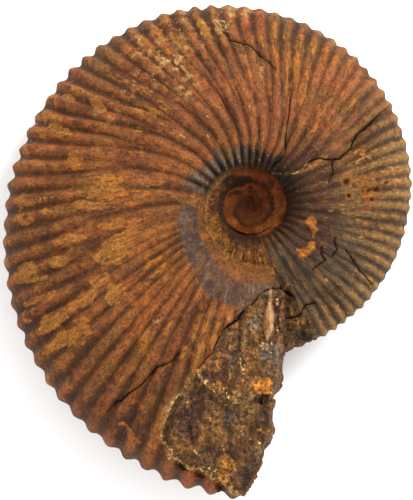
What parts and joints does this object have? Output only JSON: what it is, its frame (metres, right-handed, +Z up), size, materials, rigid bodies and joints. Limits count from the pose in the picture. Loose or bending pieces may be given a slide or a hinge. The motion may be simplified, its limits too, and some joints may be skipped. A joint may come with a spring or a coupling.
{
  "type": "ammonite fossil",
  "caption": "Ribbed, tightly coiled ammonite shell turned to rusty ironstone, lying on one flank, with a deep umbilicus and a broken mouth.",
  "frame": {"origin": "middle of the outline seen from above, on the surface that the fossil lies on", "axes": "+Z up, across the thickness of the shell; +Y along its longest diameter, away from the broken mouth; +X to the side that the coil's centre is nearer to"},
  "size_m": [0.1024, 0.1234, 0.0457],
  "materials": {
    "ironstone": "rough rusty ironstone, worn smoother on the ribs"
  },
  "bodies": {
    "root": {"ammonite_fossil": "ironstone"}
  },
  "joints": []
}
